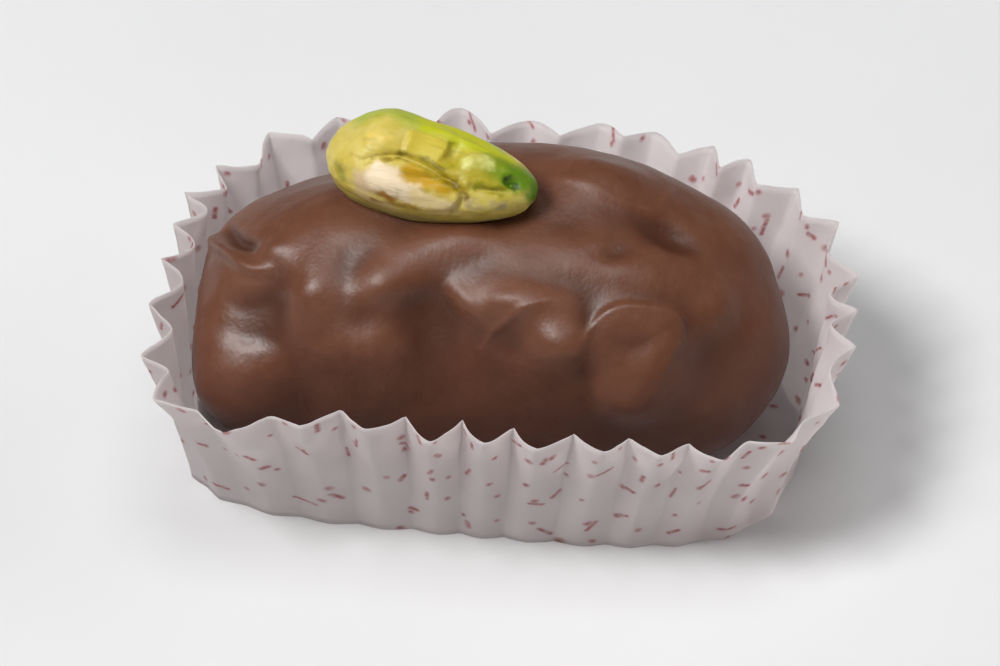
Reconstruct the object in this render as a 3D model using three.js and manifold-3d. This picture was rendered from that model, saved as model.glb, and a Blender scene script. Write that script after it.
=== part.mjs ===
// A date dipped in chocolate, with a pistachio kernel set in its top, in a fluted oval paper case.
//
// Millimetres, +Z up. +X runs along the date towards its broad end. The origin is the middle of
// the underside of the case, which is the flat face that the whole stands on.

import * as THREE from 'three';
import { mergeVertices } from 'three/addons/utils/BufferGeometryUtils.js';
import Module from 'manifold-3d';

const wasm = await Module();
wasm.setup();

const { degToRad, lerp } = THREE.MathUtils;
const UP = new THREE.Vector3(0, 0, 1);

// Clearance between pieces that touch in the real thing.
const GAP = 0.3;

// Paper case: a flat oval base and a fluted wall that leans out, a little further to one side. Its
// squareness goes by quarters, anticlockwise from +X.
const CASE_BASE_LENGTH = 48.6;
const CASE_BASE_WIDTH = 28;
const CASE_RIM_LENGTH = 52.4;
const CASE_RIM_WIDTH = 36.8;
const CASE_HEIGHT = 14.5;
const CASE_WALL = 0.45;
const CASE_SQUARENESS = [2.25, 2.9, 4.5, 3.6];
const CASE_FLARE = 1.15;
const CASE_BASE_CENTRE = new THREE.Vector3(-0.9, 0, 0);
const CASE_RIM_CENTRE = new THREE.Vector3(-0.25, 0.1, 0);
const CASE_WALL_ROWS = 3;

// Flutes: a little deeper at the narrow end, with pointed crests at both ends of the case and
// round ones along its sides. The rim flares in three places.
const FLUTE_COUNT = 32;
const FLUTE_COLUMNS = 8;
const FLUTE_DEPTH = 2.1;
const FLUTE_DEPTH_AT_BASE = 0.4;
const FLUTE_GROWTH = 1.5;
const FLUTE_DEPTH_FADE = 0.1;
const FLUTE_DEPTH_SWAY = 0.25;
const FLUTE_SPACING_SWAY = 0.003;
const CREST_ROUNDNESS = 0.5;
const CREST_ROUNDNESS_SWAY = 0.4;
const RIM_HEIGHT_SWAY = 0.5;
const RIM_FLARES = [
  { name: 'back of the broad end', place: 0.185, spread: 0.045, reach: 1.6 },
  { name: 'front corner of the narrow end', place: 0.608, spread: 0.04, reach: 2.2 },
  { name: 'front corner of the broad end', place: 0.91, spread: 0.06, reach: 1.8 },
];
const RIM_FLARE_DROP = 0.35;

// Chocolate-covered date: a blunt loaf with a flat foot, broader and higher towards +X.
const DATE_LENGTH = 46;
const DATE_WIDTH = 25.2;
const DATE_HEIGHT = 21.8;
const DATE_WAIST_HEIGHT = 9;
const DATE_FOOT_DEPTH = 1.5;
const DATE_WIDTH_TAPER = 0.08;
const DATE_HEIGHT_TAPER = 0.08;
const DATE_NARROW_END_SQUARENESS = 3;
const DATE_BROAD_END_SQUARENESS = 2.05;
const DATE_SIDE_SQUARENESS = 2.4;
const DATE_BOW = 2.5;
const DATE_BOW_MIDDLE = 0.4;
const DATE_CENTRE = new THREE.Vector2(-1.45, 0.6);
const DATE_TURN = degToRad(3);
const DATE_STATIONS = 42;
const DATE_STEPS_AROUND = 46;

// Swells and hollows that the wrinkled date leaves in its coat. Each lies at a place on the
// surface, reaches a length and a width, is turned about Z, and rises by so much, or sinks.
const SWELL_CRISPNESS = 1.4;
const DATE_SWELLS = [
  { name: 'low lobe at the narrow end', at: [-17.8, -10, 12], reach: [5.2, 4.8], turn: 0, rise: 1.3 },
  { name: 'hollow above it', at: [-18, -8.2, 16.8], reach: [5.4, 2.1], turn: 6, rise: -1.2 },
  { name: 'shoulder of the narrow end', at: [-13, -3.5, 20.5], reach: [6.5, 4.5], turn: 20, rise: 0.9 },
  { name: 'foot of the narrow end', at: [-21, -6.5, 5], reach: [4, 5], turn: 0, rise: 0.5 },
  { name: 'second lobe', at: [-9.6, -10.5, 14.5], reach: [4, 4.4], turn: 0, rise: 1.4 },
  { name: 'nick between the lobes', at: [-13.8, -11, 12.5], reach: [1.4, 3.6], turn: 0, rise: -0.5 },
  { name: 'ridge before the kernel', at: [-5.8, -6.3, 20], reach: [4.6, 1.8], turn: 32, rise: 0.8 },
  { name: 'hollow below the ridge', at: [-4.2, -9.4, 17.4], reach: [2.6, 2.6], turn: 30, rise: -1.1 },
  { name: 'third lobe', at: [5.2, -10.4, 16.2], reach: [3.4, 3.3], turn: 0, rise: 1.3 },
  { name: 'nick before the last lobe', at: [8.5, -10.4, 17], reach: [1, 3.2], turn: 0, rise: -0.8 },
  { name: 'last lobe', at: [12.3, -10.2, 15.4], reach: [4.2, 3.6], turn: 0, rise: 1.7 },
  { name: 'long ridge of the broad end', at: [11, -5.4, 19.8], reach: [9, 2], turn: -4, rise: 0.7 },
  { name: 'groove in the broad end', at: [14.8, -1.4, 20], reach: [3.6, 1.3], turn: -6, rise: -0.9 },
  { name: 'back of the broad end', at: [9, 4.8, 21], reach: [7.5, 4.5], turn: 0, rise: 0.3 },
  { name: 'shoulder of the broad end', at: [18.5, 5, 14], reach: [3.6, 4.5], turn: 0, rise: 0.7 },
  { name: 'flat flank of the broad end', at: [19, -7.5, 14], reach: [4, 4.5], turn: 0, rise: -0.9 },
  { name: 'foot of the broad end', at: [17, -9, 6], reach: [5, 4.5], turn: 0, rise: 0.8 },
  { name: 'sloping back of the narrow end', at: [-12.5, 7, 18], reach: [8.5, 5], turn: 0, rise: -1.1 },
  { name: 'first lobe of the back', at: [-15, 10, 10], reach: [4.5, 4], turn: 0, rise: 0.9 },
  { name: 'nick in the back', at: [-9, 12, 14], reach: [1.2, 5], turn: 0, rise: -0.6 },
  { name: 'second lobe of the back', at: [-2.5, 13.5, 12], reach: [5, 4.6], turn: 0, rise: 0.9 },
  { name: 'hollow in the back', at: [5, 12.5, 15.5], reach: [3.2, 3], turn: 20, rise: -1 },
  { name: 'third lobe of the back', at: [12, 11.5, 11.5], reach: [4.4, 4.4], turn: 0, rise: 1 },
];

// Pistachio kernel: blunt at -X, tapering to a rounded tip at +X, split along its front side.
const KERNEL_LENGTH = 16.9;
const KERNEL_WIDTH = 8.6;
const KERNEL_THICKNESS = 7.4;
const KERNEL_TAPER = 0.2;
const KERNEL_SPLIT_DEPTH = 0.5;
const KERNEL_SPLIT_WIDTH = 14;
const KERNEL_SPLIT_PLACE = degToRad(205);
const KERNEL_SQUARENESS = 2.1;
const KERNEL_HUMP = 0.9;
const KERNEL_HUMP_PLACE = -0.5;
const KERNEL_HUMP_SPREAD = 0.25;
const KERNEL_SINK = 1.4;
const KERNEL_TURN = degToRad(-7);
const KERNEL_TILT = degToRad(3);
const KERNEL_CENTRE = new THREE.Vector2(-5.8, 0);
const KERNEL_STATIONS = 18;
const KERNEL_STEPS_AROUND = 24;

// A closed oval in its own XY plane: an ellipse at squareness 2, and boxier above that. Its
// squareness is one number, or a list of four with one for each quarter.
class Oval extends THREE.Curve {
  constructor(halfLength, halfWidth, squareness) {
    super();
    this.halfLength = halfLength;
    this.halfWidth = halfWidth;
    this.quarters = [squareness, squareness, squareness, squareness].flat().slice(0, 4);
    this.arcLengthDivisions = 480;
  }

  getPoint(t, target = new THREE.Vector3()) {
    const angle = 2 * Math.PI * t;
    const along = Math.cos(angle);
    const across = Math.sin(angle);
    const squareness = this.quarters[Math.min(3, Math.floor(4 * t))];
    const reach = (Math.abs(along) ** squareness + Math.abs(across) ** squareness) ** (-1 / squareness);
    return target.set(this.halfLength * along * reach, this.halfWidth * across * reach, 0);
  }
}

// One closed skin over a row of loops with equal point counts, closed to a point at each end.
function skin(startPole, loops, endPole) {
  const around = loops[0].length;
  const points = [startPole, ...loops.flat(), endPole];
  const last = points.length - 1;
  const faces = [];
  for (let step = 0; step < around; step += 1) {
    const next = (step + 1) % around;
    faces.push(0, 1 + next, 1 + step);
    for (let row = 0; row + 1 < loops.length; row += 1) {
      const lower = 1 + row * around;
      const upper = lower + around;
      faces.push(lower + step, lower + next, upper + next);
      faces.push(lower + step, upper + next, upper + step);
    }
    const top = 1 + (loops.length - 1) * around;
    faces.push(last, top + step, top + next);
  }
  const geometry = new THREE.BufferGeometry().setFromPoints(points);
  geometry.setIndex(faces);
  geometry.computeVertexNormals();
  return geometry;
}

// Moves each point of a geometry along its own normal by what distance(point) gives.
function pushOut(geometry, distance) {
  const place = geometry.getAttribute('position');
  const normals = geometry.getAttribute('normal');
  const point = new THREE.Vector3();
  const normal = new THREE.Vector3();
  for (let i = 0; i < place.count; i += 1) {
    point.fromBufferAttribute(place, i);
    normal.fromBufferAttribute(normals, i);
    point.addScaledVector(normal, distance(point.clone()));
    place.setXYZ(i, point.x, point.y, point.z);
  }
}

// Places along a body from -1 to 1, evenly spaced over a blunt outline and so closer at its ends.
function stationsAlong(halfLength, halfWidth, count) {
  const bluntness = 2.5;
  const outline = new Oval(halfLength, halfWidth, bluntness).getSpacedPoints(2 * count);
  return outline.slice(1, count).map((point) => -point.x / halfLength);
}

// How wide a body is at a place along it, as a share of its full width.
function fullness(along, squareness) {
  return (1 - Math.abs(along) ** squareness) ** (1 / squareness);
}

// What the swells and hollows add to the coat at a point.
function coatRelief(point) {
  let relief = 0;
  for (const { at, reach, turn, rise } of DATE_SWELLS) {
    const offset = point.clone().sub(new THREE.Vector3(...at));
    offset.applyAxisAngle(UP, -degToRad(turn));
    const along = offset.x / reach[0];
    const across = Math.hypot(offset.y, offset.z) / reach[1];
    relief += rise * Math.exp(-((along ** 2 + across ** 2) ** SWELL_CRISPNESS));
  }
  return relief;
}

function dateGeometry() {
  const half = DATE_LENGTH / 2;
  const above = DATE_HEIGHT - DATE_WAIST_HEIGHT;
  const below = DATE_WAIST_HEIGHT + DATE_FOOT_DEPTH;
  const section = new Oval(DATE_WIDTH / 2, 1, DATE_SIDE_SQUARENESS);
  const around = section.getSpacedPoints(DATE_STEPS_AROUND).slice(1);
  const spine = (along) => DATE_BOW * (DATE_BOW_MIDDLE - along ** 2);
  const loops = stationsAlong(half, DATE_WIDTH / 2, DATE_STATIONS).map((along) => {
    const size = fullness(along, along < 0 ? DATE_NARROW_END_SQUARENESS : DATE_BROAD_END_SQUARENESS);
    const wide = size * (1 + DATE_WIDTH_TAPER * along);
    const high = size * above * (1 + DATE_HEIGHT_TAPER * along);
    return around.map(({ x, y }) => new THREE.Vector3(
      along * half,
      x * wide + spine(along),
      DATE_WAIST_HEIGHT + y * (y > 0 ? high : size * below),
    ));
  });
  const startPole = new THREE.Vector3(-half, spine(-1), DATE_WAIST_HEIGHT);
  const endPole = new THREE.Vector3(half, spine(1), DATE_WAIST_HEIGHT);
  const geometry = skin(startPole, loops, endPole);
  pushOut(geometry, coatRelief);
  const place = geometry.getAttribute('position');
  for (let i = 0; i < place.count; i += 1) {
    place.setZ(i, Math.max(0, place.getZ(i)));
  }
  return geometry;
}

// The kernel, or with some growth the seat that it needs.
function kernelGeometry(growth) {
  const half = KERNEL_LENGTH / 2 + growth;
  const halfWidth = KERNEL_WIDTH / 2 + growth;
  const halfThickness = KERNEL_THICKNESS / 2 + growth;
  const section = new Oval(1, 1, 2).getSpacedPoints(KERNEL_STEPS_AROUND).slice(1);
  const loops = stationsAlong(half, halfWidth, KERNEL_STATIONS).map((along) => {
    const size = fullness(along, KERNEL_SQUARENESS) * (1 - KERNEL_TAPER * along);
    return section.map(({ x, y }) => {
      const angle = Math.atan2(y, x);
      const fromSplit = Math.cos(angle - KERNEL_SPLIT_PLACE);
      const split = KERNEL_SPLIT_DEPTH * size * Math.exp(KERNEL_SPLIT_WIDTH * (fromSplit - 1));
      const fromHump = (along - KERNEL_HUMP_PLACE) / KERNEL_HUMP_SPREAD;
      const hump = KERNEL_HUMP * size * Math.exp(-(fromHump ** 2)) * Math.max(0, y);
      return new THREE.Vector3(
        along * half,
        x * (size * halfWidth - split),
        y * (size * halfThickness - split) + hump,
      );
    });
  });
  return skin(new THREE.Vector3(-half, 0, 0), loops, new THREE.Vector3(half, 0, 0));
}

// A slow waver round the case, from -1 to 1, where share is the place round it from 0 to 1.
function sway(share, turns, start) {
  return Math.sin(2 * Math.PI * (turns * share + start));
}

// How far the rim flares at a place round the case.
function rimFlare(even) {
  const flares = RIM_FLARES.map(({ place, spread, reach }) => {
    const from = (even - place) / spread;
    return reach * Math.exp(-(from ** 2));
  });
  return Math.max(...flares);
}

// How far a flute stands out at a place round the case, from about -0.5 to 0.5 of its depth.
function fluteWave(even) {
  const phase = Math.PI * even * FLUTE_COUNT;
  const roundness = CREST_ROUNDNESS + CREST_ROUNDNESS_SWAY * sway(even, 2, -0.25);
  const roundCrests = Math.abs(Math.cos(phase)) - 0.5;
  const pointedCrests = 0.5 - Math.abs(Math.sin(phase));
  return lerp(pointedCrests, roundCrests, roundness);
}

// One loop of the case's wall, at a share of its height and set in from its outer face.
function wallLoop(rise, inset, floor) {
  const spread = rise ** CASE_FLARE;
  const outline = new Oval(
    lerp(CASE_BASE_LENGTH, CASE_RIM_LENGTH, spread) / 2 - inset,
    lerp(CASE_BASE_WIDTH, CASE_RIM_WIDTH, spread) / 2 - inset,
    CASE_SQUARENESS,
  );
  const centre = CASE_BASE_CENTRE.clone().lerp(CASE_RIM_CENTRE, spread);
  const columns = FLUTE_COUNT * FLUTE_COLUMNS;
  const loop = [];
  for (let column = 0; column < columns; column += 1) {
    const even = column / columns;
    const share = (even + 1 + FLUTE_SPACING_SWAY * (sway(even, 3, 0.1) + sway(even, 7, 0.4))) % 1;
    const point = outline.getPointAt(share);
    const tangent = outline.getTangentAt(share);
    const outward = new THREE.Vector3(tangent.y, -tangent.x, 0);
    const depthSway = FLUTE_DEPTH_SWAY * sway(even, 5, 0.2) * sway(even, 2, 0.35);
    const unevenness = 1 - FLUTE_DEPTH_FADE * sway(even, 1, 0.25) + depthSway;
    const depth = lerp(FLUTE_DEPTH_AT_BASE, FLUTE_DEPTH * unevenness, rise ** FLUTE_GROWTH);
    const flare = rimFlare(even) * rise ** 2;
    point.addScaledVector(outward, depth * fluteWave(even) + flare).add(centre);
    const lift = RIM_HEIGHT_SWAY * rise * sway(even, 4, 0.6) * sway(even, 9, 0.15);
    const drop = RIM_FLARE_DROP * flare;
    loop.push(point.setZ(floor + rise * (CASE_HEIGHT - floor) + lift - drop));
  }
  return loop;
}

function caseGeometry() {
  const rises = Array.from({ length: CASE_WALL_ROWS + 1 }, (_, row) => row / CASE_WALL_ROWS);
  const outside = rises.map((rise) => wallLoop(rise, 0, 0));
  const inside = rises.toReversed().map((rise) => wallLoop(rise, CASE_WALL, CASE_WALL));
  const loops = [...outside, ...inside];
  return skin(new THREE.Vector3(0, 0, 0), loops, new THREE.Vector3(0, 0, CASE_WALL));
}

// A geometry as a solid that can be cut, with its shared points merged.
function toSolid(geometry) {
  const bare = geometry.clone();
  bare.deleteAttribute('normal');
  const merged = mergeVertices(bare);
  return new wasm.Manifold(new wasm.Mesh({
    numProp: 3,
    vertProperties: new Float32Array(merged.getAttribute('position').array),
    triVerts: new Uint32Array(merged.getIndex().array),
  }));
}

function toGeometry(solid) {
  const mesh = solid.getMesh();
  const geometry = new THREE.BufferGeometry();
  geometry.setAttribute('position', new THREE.BufferAttribute(mesh.vertProperties, mesh.numProp));
  geometry.setIndex(new THREE.BufferAttribute(mesh.triVerts, 1));
  return geometry;
}

const datePlace = new THREE.Matrix4().makeRotationZ(DATE_TURN);
datePlace.setPosition(DATE_CENTRE.x, DATE_CENTRE.y, CASE_WALL + GAP);

const kernelTurn = new THREE.Euler(0, KERNEL_TILT, KERNEL_TURN, 'ZYX');
const kernelPlace = new THREE.Matrix4().makeRotationFromEuler(kernelTurn);
kernelPlace.setPosition(
  KERNEL_CENTRE.x,
  KERNEL_CENTRE.y,
  CASE_WALL + GAP + DATE_HEIGHT - KERNEL_SINK + KERNEL_THICKNESS / 2,
);

const part = new THREE.Group();

const paper = new THREE.MeshStandardMaterial({ color: 0xd9cfce, roughness: 0.6, metalness: 0 });
const paperCase = new THREE.Mesh(caseGeometry(), paper);
paperCase.name = 'paper_case';
part.add(paperCase);

const chocolate = new THREE.MeshStandardMaterial({ color: 0x4a2c20, roughness: 0.45, metalness: 0 });
const coated = toSolid(dateGeometry().applyMatrix4(datePlace));
const seat = toSolid(kernelGeometry(GAP).applyMatrix4(kernelPlace));
const date = new THREE.Mesh(toGeometry(coated.subtract(seat)), chocolate);
date.name = 'chocolate_date';
part.add(date);

const pistachio = new THREE.MeshStandardMaterial({ color: 0xa8a83a, roughness: 0.6, metalness: 0 });
const kernel = new THREE.Mesh(kernelGeometry(0).applyMatrix4(kernelPlace), pistachio);
kernel.name = 'pistachio_kernel';
part.add(kernel);

export default part;
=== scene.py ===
"""Dresses a chocolate-covered date, its pistachio kernel and its fluted paper case.

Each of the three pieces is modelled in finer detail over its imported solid, in metres, and stands
for it. The coat and the kernel start as copies of their solids, and the case is pressed from a
flat sheet. Sizes below are in millimetres, and MM turns them into metres.
"""

import logging
import math
from collections.abc import Iterator
from contextlib import contextmanager
from dataclasses import dataclass, field
from enum import Enum
from typing import ClassVar

import bpy
import numpy as np
from mathutils import Euler, Matrix, Vector, noise
from mathutils.bvhtree import BVHTree


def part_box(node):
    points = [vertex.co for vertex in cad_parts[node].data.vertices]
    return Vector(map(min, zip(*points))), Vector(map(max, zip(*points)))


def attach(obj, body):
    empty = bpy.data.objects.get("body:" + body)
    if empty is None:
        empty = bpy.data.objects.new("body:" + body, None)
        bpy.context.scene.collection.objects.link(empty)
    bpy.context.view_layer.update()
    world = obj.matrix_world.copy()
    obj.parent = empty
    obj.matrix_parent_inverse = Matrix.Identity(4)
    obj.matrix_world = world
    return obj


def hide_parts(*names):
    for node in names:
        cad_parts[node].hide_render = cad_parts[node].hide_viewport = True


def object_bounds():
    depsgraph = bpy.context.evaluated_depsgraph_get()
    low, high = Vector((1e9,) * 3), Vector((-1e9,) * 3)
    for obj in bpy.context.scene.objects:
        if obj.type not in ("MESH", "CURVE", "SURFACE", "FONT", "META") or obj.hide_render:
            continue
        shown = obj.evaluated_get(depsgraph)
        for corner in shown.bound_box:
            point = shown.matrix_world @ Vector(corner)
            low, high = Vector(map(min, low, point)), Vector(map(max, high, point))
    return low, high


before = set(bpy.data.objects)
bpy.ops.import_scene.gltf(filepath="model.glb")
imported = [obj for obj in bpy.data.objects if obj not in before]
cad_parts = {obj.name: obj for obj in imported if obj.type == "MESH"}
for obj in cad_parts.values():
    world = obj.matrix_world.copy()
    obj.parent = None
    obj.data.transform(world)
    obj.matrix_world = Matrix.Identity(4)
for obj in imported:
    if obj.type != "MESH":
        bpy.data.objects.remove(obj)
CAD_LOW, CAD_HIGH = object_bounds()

MM = 0.001
LOG = logging.getLogger("date")

Pair = tuple[float, float]
Point = tuple[float, float, float]
Colour = tuple[float, float, float, float]
Values = float | np.ndarray
Object = bpy.types.Object
Material = bpy.types.Material
NodeTree = bpy.types.NodeTree
Socket = bpy.types.NodeSocket
Sockets = bpy.types.NodeOutputs


class Slot(Enum):
    """Material slots of the record."""

    PAPER = "paper"
    CHOCOLATE = "chocolate"
    PISTACHIO = "pistachio"


# --- Mesh helpers ---


def make_active(piece: Object) -> None:
    """Selects one piece alone and makes it active.

    Args:
        piece: The piece that operators then act on.
    """
    bpy.ops.object.select_all(action="DESELECT")
    piece.select_set(True)
    bpy.context.view_layer.objects.active = piece


@contextmanager
def editing(piece: Object) -> Iterator[None]:
    """Keeps one piece alone in edit mode while the block under it runs.

    Args:
        piece: The piece to edit.

    Yields:
        Once, with the piece in edit mode.
    """
    make_active(piece)
    bpy.ops.object.mode_set(mode="EDIT")
    yield
    bpy.ops.object.mode_set(mode="OBJECT")


def put_in_scene(name: str, data: bpy.types.ID) -> Object:
    """Makes an object of its data and puts it in the scene.

    Args:
        name: The object's name.
        data: Its mesh, lamp or camera.

    Returns:
        The object, at the origin.
    """
    made = bpy.data.objects.new(name, data)
    bpy.context.collection.objects.link(made)
    return made


def apply_modifier(piece: Object, name: str, kind: str, **settings: object) -> None:
    """Adds a modifier to a piece and applies it.

    Args:
        piece: The piece to change.
        name: The modifier's name.
        kind: Blender's type of modifier.
        **settings: Values set on the modifier before it is applied.
    """
    modifier = piece.modifiers.new(name, kind)
    for key, value in settings.items():
        setattr(modifier, key, value)
    make_active(piece)
    bpy.ops.object.modifier_apply(modifier=modifier.name)


def clean_up(piece: Object, distance: float = 1e-6) -> None:
    """Merges a piece's doubled points and turns its faces outwards.

    Args:
        piece: The piece to clean.
        distance: How near two points lie to be one, in metres.
    """
    with editing(piece):
        bpy.ops.mesh.select_all(action="SELECT")
        bpy.ops.mesh.remove_doubles(threshold=distance)
        bpy.ops.mesh.normals_make_consistent(inside=False)


def copy_of_solid(node: str, name: str) -> Object:
    """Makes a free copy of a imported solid, with its loose triangles merged.

    Args:
        node: The solid's node.
        name: The copy's name.

    Returns:
        The copy, at the origin with its place in its mesh.
    """
    piece = put_in_scene(name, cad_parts[node].data.copy())
    piece.data.name = name
    piece.data.materials.clear()
    clean_up(piece)
    return piece


def rows_of(piece: Object, key: str) -> np.ndarray:
    """Reads something that each point of a piece has three values of.

    Args:
        piece: The piece to read.
        key: Blender's name for it.

    Returns:
        One row for each point, in Blender's units.
    """
    flat = np.empty(3 * len(piece.data.vertices))
    piece.data.vertices.foreach_get(key, flat)
    return flat.reshape(-1, 3)


def points_of(piece: Object) -> np.ndarray:
    """Gives a piece's points in millimetres, one row each."""
    return rows_of(piece, "co") / MM


def normals_of(piece: Object) -> np.ndarray:
    """Gives a piece's outward normals, one row for each point."""
    return rows_of(piece, "normal")


def move_points(piece: Object, points: np.ndarray) -> None:
    """Puts a piece's points at new places, given in millimetres."""
    piece.data.vertices.foreach_set("co", (points * MM).ravel())
    piece.data.update()


def waver(points: np.ndarray, size: float, seed: float) -> np.ndarray:
    """Gives smooth noise at points.

    Args:
        points: Places in millimetres, one row each.
        size: How far apart its swells lie, in millimetres.
        seed: Picks another field of noise.

    Returns:
        A value for each point, about -1 to 1.
    """
    shift = Vector((seed, -seed, 2 * seed))
    return np.array([noise.noise(Vector(row) / size + shift) for row in points])


def smoothstep(low: float, high: float, values: Values) -> Values:
    """Rises smoothly from 0 at low to 1 at high."""
    share = np.clip((values - low) / (high - low), 0, 1)
    return share * share * (3 - 2 * share)


def between(first: Values, second: Values, share: Values) -> Values:
    """Goes from first to second by a share of 0 to 1."""
    return first + (second - first) * share


def sway(shares: np.ndarray, turns: float, start: float) -> np.ndarray:
    """Gives a sine wave with a number of turns over shares of 0 to 1."""
    return np.sin(2 * math.pi * (turns * shares + start))


def circle_at(shares: np.ndarray) -> np.ndarray:
    """Gives points on a circle of radius 1 at shares of the way round."""
    return np.stack([np.cos(2 * math.pi * shares), np.sin(2 * math.pi * shares)], axis=1)


def push_out(piece: Object, relief: np.ndarray) -> None:
    """Moves a piece's points along their normals by a relief in millimetres."""
    move_points(piece, points_of(piece) + normals_of(piece) * relief[:, None])


def gaps_to(other: Object, points: np.ndarray) -> np.ndarray:
    """Measures how far each point lies from another piece, in millimetres."""
    tree = BVHTree.FromObject(other, bpy.context.evaluated_depsgraph_get())
    return np.array([tree.find_nearest(Vector(row) * MM)[3] for row in points]) / MM


def shade_smooth(piece: Object) -> None:
    """Shades a piece smooth all over."""
    make_active(piece)
    bpy.ops.object.shade_smooth()


# --- Node helpers and shared node groups ---


class Sheet:
    """A node tree to lay nodes in, with each node's inputs given as values or sockets."""

    def __init__(self, tree: NodeTree) -> None:
        """Takes the tree and empties it."""
        self.tree = tree
        tree.nodes.clear()

    def add(self, kind: str, inputs: dict | None = None, **settings: object) -> Sockets:
        """Lays one node.

        Args:
            kind: Blender's type of node.
            inputs: Values or output sockets by input name or number.
            **settings: Values set on the node itself.

        Returns:
            The node's outputs.
        """
        node = self.tree.nodes.new(kind)
        for key, value in settings.items():
            setattr(node, key, value)
        for key, value in (inputs or {}).items():
            if isinstance(value, Socket):
                self.tree.links.new(value, node.inputs[key])
            else:
                node.inputs[key].default_value = value
        return node.outputs

    def math(self, operation: str, *values: object, clamp: bool = False) -> Socket:
        """Lays a Math node and gives its result."""
        inputs = dict(enumerate(values))
        return self.add("ShaderNodeMath", inputs, operation=operation, use_clamp=clamp)[0]

    def times(self, first: object, second: object) -> Socket:
        """Multiplies two values."""
        return self.math("MULTIPLY", first, second)

    def vector(self, operation: str, *values: object, scale: object = None) -> Socket:
        """Lays a Vector Math node.

        Args:
            operation: What it does.
            *values: The vectors that it takes, as values or sockets.
            scale: The factor, where it scales.

        Returns:
            Its result: a plain value for a length or a dot product, and otherwise a vector.
        """
        inputs = dict(enumerate(values))
        if scale is not None:
            inputs["Scale"] = scale
        result = "Value" if operation in ("LENGTH", "DOT_PRODUCT") else "Vector"
        return self.add("ShaderNodeVectorMath", inputs, operation=operation)[result]

    def ramp(self, value: object, low: object, high: object) -> Socket:
        """Rises smoothly from 0 to 1, and stays there.

        Args:
            value: What it reads.
            low: The value at which it is 0.
            high: The value at which it is 1, which may be the lesser one.

        Returns:
            The result.
        """
        inputs = {"Value": value, "From Min": low, "From Max": high}
        settings = {"interpolation_type": "SMOOTHSTEP", "clamp": True}
        return self.add("ShaderNodeMapRange", inputs, **settings)["Result"]

    def spread(self, value: object, low: float, high: float) -> Socket:
        """Spreads a value of 0 to 1 over low to high."""
        inputs = {"Value": value, "To Min": low, "To Max": high}
        return self.add("ShaderNodeMapRange", inputs, clamp=True)["Result"]

    def mix(self, share: object, first: object, second: object) -> Socket:
        """Mixes two colours: 6 and 7 are the node's inputs for them, and 2 is its colour output."""
        inputs = {0: share, 6: first, 7: second}
        return self.add("ShaderNodeMix", inputs, data_type="RGBA")[2]

    def noise(self, vector: object, size: float, detail: float = 2.0) -> Socket:
        """Lays noise of a size in millimetres over a vector in millimetres."""
        inputs = {"Vector": vector, "Scale": 1 / size, "Detail": detail, "Roughness": 0.55}
        return self.add("ShaderNodeTexNoise", inputs)["Fac"]


def millimetres(sheet: Sheet, centre: Vector | None = None, turn: Euler | None = None) -> Socket:
    """Gives Object coordinates in millimetres, in a frame of the piece's own.

    Args:
        sheet: The tree to lay them in.
        centre: The frame's origin in metres.
        turn: How the frame is turned.

    Returns:
        The vector socket.
    """
    place = sheet.add("ShaderNodeTexCoord")["Object"]
    inputs = {"Vector": place}
    if centre is not None:
        inputs["Location"] = centre
    if turn is not None:
        inputs["Rotation"] = turn
    local = sheet.add("ShaderNodeMapping", inputs, vector_type="TEXTURE")["Vector"]
    return sheet.vector("SCALE", local, scale=1 / MM)


def open_group(
    name: str, vectors: tuple[str, ...], floats: tuple[str, ...], masks: tuple[str, ...]
) -> tuple[Sheet, Sockets]:
    """Opens a node group with its sockets.

    Args:
        name: The group's name.
        vectors: Its inputs that are vectors.
        floats: Its inputs that are plain values.
        masks: Its outputs, plain values of 0 to 1.

    Returns:
        The group's sheet, and its inputs as sockets to link from.
    """
    tree = bpy.data.node_groups.new(name, "ShaderNodeTree")
    sides = (("INPUT", "Vector", vectors), ("INPUT", "Float", floats), ("OUTPUT", "Float", masks))
    for side, kind, names in sides:
        for socket in names:
            tree.interface.new_socket(socket, in_out=side, socket_type=f"NodeSocket{kind}")
    sheet = Sheet(tree)
    return sheet, sheet.add("NodeGroupInput")


def mottle_group() -> NodeTree:
    """Makes the group for uneven colour and gloss: a broad and a fine mask from one vector.

    Returns:
        The group.
    """
    names = ("Broad", "Fine")
    sheet, entry = open_group("mottle", ("Vector",), ("Broad Size", "Fine Size"), names)
    masks = {}
    for name in names:
        scale = sheet.math("DIVIDE", 1.0, entry[f"{name} Size"])
        inputs = {"Vector": entry["Vector"], "Scale": scale, "Detail": 3.0}
        cloud = sheet.add("ShaderNodeTexNoise", inputs)["Fac"]
        masks[name] = sheet.ramp(cloud, 0.3, 0.7)
    sheet.add("NodeGroupOutput", masks)
    return sheet.tree


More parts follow.
